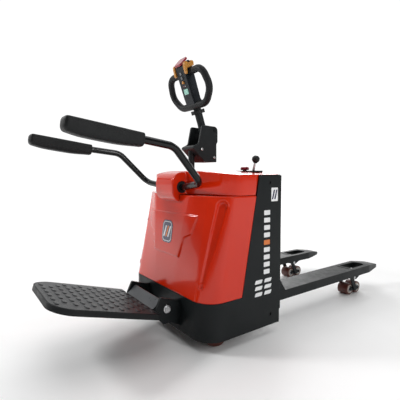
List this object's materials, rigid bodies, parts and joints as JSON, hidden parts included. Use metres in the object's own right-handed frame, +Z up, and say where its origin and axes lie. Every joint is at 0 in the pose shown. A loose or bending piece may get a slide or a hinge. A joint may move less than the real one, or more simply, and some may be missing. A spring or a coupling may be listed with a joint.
{
  "type": "electric pallet truck",
  "caption": "Ride-on electric pallet truck with a tiller, two fold-down side arms, a folding platform and forks with tandem load rollers.",
  "frame": {"origin": "on the floor, under the middle of the truck's overall length and width, forks raised and platform at its sprung height", "axes": "+Y from the operator towards the fork tips, +Z up, +X to the truck's right-hand side seen from the platform looking at the forks"},
  "size_m": [0.796, 2.3606, 1.51],
  "materials": {
    "black_paint": "satin powder coat",
    "frame_paint": "matt powder coat",
    "grey_black_paint": "satin powder coat",
    "grey_paint": "satin enamel",
    "red_cover": "moulded gloss",
    "black_plastic": "fine grain",
    "head_plastic": "fine grain",
    "soft_grip": "matt, fine grain",
    "pad_foam": "matt, ribbed",
    "mat_rubber": "matt, raised studs",
    "screen": "clear window over a pale green screen",
    "red_button": "moulded gloss",
    "amber_plastic": "moulded semi-gloss",
    "grey_button": "moulded satin",
    "zinc": "bright zinc plate",
    "bright_steel": "ground steel",
    "cast_housing": "painted casting",
    "alloy": "bead blasted",
    "battery_case": "moulded satin",
    "roller_tread": "cast polyurethane, semi-gloss",
    "drive_tread": "cast polyurethane, semi-gloss"
  },
  "bodies": {
    "chassis": {"chassis_shell": "black_paint", "chassis_frame": "frame_paint", "front_cover": "red_cover", "top_cover": "red_cover", "cover_screws": "black_plastic", "battery_pack": "battery_case", "motor_controller": "alloy", "hydraulic_unit": "grey_paint", "lift_cylinder": "black_paint", "steering_bearing": "bright_steel", "arm_bushes": "black_plastic", "lift_rails": "bright_steel", "platform_brackets": "black_paint", "platform_bolts": "zinc", "switch_plate": "black_plastic", "link_brackets": "frame_paint"},
    "steered_unit": {"steering_column": "frame_paint", "tiller_bracket": "grey_black_paint", "drive_motor": "grey_paint", "gearbox": "cast_housing"},
    "drive_wheel": {"drive_tyre": "drive_tread", "drive_hub": "cast_housing"},
    "tiller": {"tiller_shaft": "black_paint", "tiller_collar": "black_plastic", "tiller_head": "head_plastic", "handle_loop": "soft_grip", "display": "screen"},
    "belly_cap": {"belly_button": "red_button"},
    "paddles": {"drive_paddles": "amber_plastic"},
    "horn_cap": {"horn_button": "amber_plastic"},
    "lift_cap": {"lift_button": "grey_button"},
    "lower_cap": {"lower_button": "grey_button"},
    "emergency_cap": {"emergency_button": "red_button"},
    "lever": {"lever_stem": "zinc", "lever_knob": "black_plastic"},
    "side_arm_left": {"arm_tube_left": "black_paint", "arm_pad_left": "pad_foam"},
    "side_arm_right": {"arm_tube_right": "black_paint", "arm_pad_right": "pad_foam"},
    "platform": {"platform_tray": "frame_paint", "platform_mat": "mat_rubber"},
    "caster_left": {"caster_yoke_left": "zinc"},
    "caster_right": {"caster_yoke_right": "zinc"},
    "caster_tread_left": {"caster_wheel_left": "roller_tread"},
    "caster_tread_right": {"caster_wheel_right": "roller_tread"},
    "forks": {"fork_frame": "black_paint", "piston_rod": "bright_steel", "fork_pins": "zinc"},
    "load_arm_left": {"wheel_arm_left": "frame_paint"},
    "bogie_frame_left": {"bogie_left": "frame_paint"},
    "push_bar_left": {"push_rod_left": "frame_paint"},
    "lift_rocker_left": {"rocker_left": "frame_paint"},
    "load_roller_left_front": {"roller_left_front": "roller_tread"},
    "load_roller_left_rear": {"roller_left_rear": "roller_tread"},
    "load_arm_right": {"wheel_arm_right": "frame_paint"},
    "bogie_frame_right": {"bogie_right": "frame_paint"},
    "push_bar_right": {"push_rod_right": "frame_paint"},
    "lift_rocker_right": {"rocker_right": "frame_paint"},
    "load_roller_right_front": {"roller_right_front": "roller_tread"},
    "load_roller_right_rear": {"roller_right_rear": "roller_tread"}
  },
  "joints": [
    {"name": "fork_lift", "type": "slide", "parent": "chassis", "child": "forks", "axis": [0, 0, 1], "range_m": [-0.11, 0]},
    {"name": "steering", "type": "hinge", "parent": "chassis", "child": "steered_unit", "pos_m": [0, -0.34468, 0.3], "axis": [0, 0, 1], "range_deg": [-90, 90]},
    {"name": "drive_wheel_spin", "type": "hinge", "parent": "steered_unit", "child": "drive_wheel", "pos_m": [0, -0.34468, 0.115], "axis": [1, 0, 0], "continuous": true},
    {"name": "tiller_tilt", "type": "hinge", "parent": "steered_unit", "child": "tiller", "pos_m": [0, -0.21968, 1.119], "axis": [1, 0, 0], "range_deg": [-10, 60]},
    {"name": "belly_button_press", "type": "slide", "parent": "tiller", "child": "belly_cap", "axis": [0, -0.7604, 0.6494], "range_m": [-0.004, 0], "stiffness_N_per_m": 2000, "springref_m": 0.002},
    {"name": "drive_paddles_turn", "type": "hinge", "parent": "tiller", "child": "paddles", "pos_m": [0, -0.39209, 1.4578], "axis": [1, 0, 0], "range_deg": [-15, 15], "stiffness_Nm_per_rad": 1.2},
    {"name": "horn_button_press", "type": "slide", "parent": "tiller", "child": "horn_cap", "axis": [0, -0.9483, -0.3173], "range_m": [-0.003, 0], "stiffness_N_per_m": 700, "springref_m": 0.001},
    {"name": "lower_button_press", "type": "slide", "parent": "tiller", "child": "lower_cap", "axis": [0, -0.9483, -0.3173], "range_m": [-0.003, 0], "stiffness_N_per_m": 700, "springref_m": 0.001},
    {"name": "lift_button_press", "type": "slide", "parent": "tiller", "child": "lift_cap", "axis": [0, -0.9483, -0.3173], "range_m": [-0.003, 0], "stiffness_N_per_m": 700, "springref_m": 0.001},
    {"name": "emergency_button_press", "type": "slide", "parent": "chassis", "child": "emergency_cap", "axis": [0, 0, 1], "range_m": [-0.004, 0]},
    {"name": "hydraulic_lever_tilt", "type": "hinge", "parent": "chassis", "child": "lever", "pos_m": [0.256, -0.10568, 0.871], "axis": [1, 0, 0], "range_deg": [-15, 15], "stiffness_Nm_per_rad": 2},
    {"name": "side_arm_fold_left", "type": "hinge", "parent": "chassis", "child": "side_arm_left", "pos_m": [-0.068, -0.46668, 0.797], "axis": [1, 0, 0], "range_deg": [0, 100]},
    {"name": "side_arm_fold_right", "type": "hinge", "parent": "chassis", "child": "side_arm_right", "pos_m": [0.068, -0.46668, 0.797], "axis": [1, 0, 0], "range_deg": [0, 100]},
    {"name": "platform_fold", "type": "hinge", "parent": "chassis", "child": "platform", "pos_m": [0, -0.61668, 0.189], "axis": [-1, 0, 0], "range_deg": [-16.5, 72], "stiffness_Nm_per_rad": 30, "springref_deg": 70.47},
    {"name": "caster_swivel_left", "type": "hinge", "parent": "chassis", "child": "caster_left", "pos_m": [-0.299, -0.43968, 0.17], "axis": [0, 0, 1], "continuous": true},
    {"name": "caster_spin_left", "type": "hinge", "parent": "caster_left", "child": "caster_tread_left", "pos_m": [-0.31162, -0.42166, 0.0575], "axis": [-0.8192, -0.5736, 0], "continuous": true},
    {"name": "caster_swivel_right", "type": "hinge", "parent": "chassis", "child": "caster_right", "pos_m": [0.299, -0.43968, 0.17], "axis": [0, 0, 1], "continuous": true},
    {"name": "caster_spin_right", "type": "hinge", "parent": "caster_right", "child": "caster_tread_right", "pos_m": [0.31162, -0.42166, 0.0575], "axis": [-0.8192, 0.5736, 0], "continuous": true},
    {"name": "wheel_arm_swing_left", "type": "hinge", "parent": "forks", "child": "load_arm_left", "pos_m": [-0.265, 0.81032, 0.134], "axis": [1, 0, 0], "range_deg": [0, 69.36]},
    {"name": "bogie_level_left", "type": "hinge", "parent": "load_arm_left", "child": "bogie_frame_left", "pos_m": [-0.265, 0.86282, 0.04], "axis": [1, 0, 0], "range_deg": [-69.36, 0]},
    {"name": "push_rod_level_left", "type": "hinge", "parent": "load_arm_left", "child": "push_bar_left", "pos_m": [-0.265, 0.82853, 0.16032], "axis": [1, 0, 0], "range_deg": [-69.36, 0]},
    {"name": "rocker_swing_left", "type": "hinge", "parent": "forks", "child": "lift_rocker_left", "pos_m": [-0.265, 0.02032, 0.168], "axis": [1, 0, 0], "range_deg": [-69.36, 0]},
    {"name": "roller_spin_left_front", "type": "hinge", "parent": "bogie_frame_left", "child": "load_roller_left_front", "pos_m": [-0.265, 0.81932, 0.04], "axis": [1, 0, 0], "continuous": true},
    {"name": "roller_spin_left_rear", "type": "hinge", "parent": "bogie_frame_left", "child": "load_roller_left_rear", "pos_m": [-0.265, 0.90632, 0.04], "axis": [1, 0, 0], "continuous": true},
    {"name": "wheel_arm_swing_right", "type": "hinge", "parent": "forks", "child": "load_arm_right", "pos_m": [0.265, 0.81032, 0.134], "axis": [1, 0, 0], "range_deg": [0, 69.36]},
    {"name": "bogie_level_right", "type": "hinge", "parent": "load_arm_right", "child": "bogie_frame_right", "pos_m": [0.265, 0.86282, 0.04], "axis": [1, 0, 0], "range_deg": [-69.36, 0]},
    {"name": "push_rod_level_right", "type": "hinge", "parent": "load_arm_right", "child": "push_bar_right", "pos_m": [0.265, 0.82853, 0.16032], "axis": [1, 0, 0], "range_deg": [-69.36, 0]},
    {"name": "rocker_swing_right", "type": "hinge", "parent": "forks", "child": "lift_rocker_right", "pos_m": [0.265, 0.02032, 0.168], "axis": [1, 0, 0], "range_deg": [-69.36, 0]},
    {"name": "roller_spin_right_front", "type": "hinge", "parent": "bogie_frame_right", "child": "load_roller_right_front", "pos_m": [0.265, 0.81932, 0.04], "axis": [1, 0, 0], "continuous": true},
    {"name": "roller_spin_right_rear", "type": "hinge", "parent": "bogie_frame_right", "child": "load_roller_right_rear", "pos_m": [0.265, 0.90632, 0.04], "axis": [1, 0, 0], "continuous": true}
  ],
  "couplings": [
    {"joint": "wheel_arm_swing_left", "follows": "fork_lift", "rad_per_m": -11.005},
    {"joint": "bogie_level_left", "follows": "fork_lift", "rad_per_m": 11.005},
    {"joint": "push_rod_level_left", "follows": "fork_lift", "rad_per_m": 11.005},
    {"joint": "rocker_swing_left", "follows": "fork_lift", "rad_per_m": 11.005},
    {"joint": "wheel_arm_swing_right", "follows": "fork_lift", "rad_per_m": -11.005},
    {"joint": "bogie_level_right", "follows": "fork_lift", "rad_per_m": 11.005},
    {"joint": "push_rod_level_right", "follows": "fork_lift", "rad_per_m": 11.005},
    {"joint": "rocker_swing_right", "follows": "fork_lift", "rad_per_m": 11.005}
  ]
}
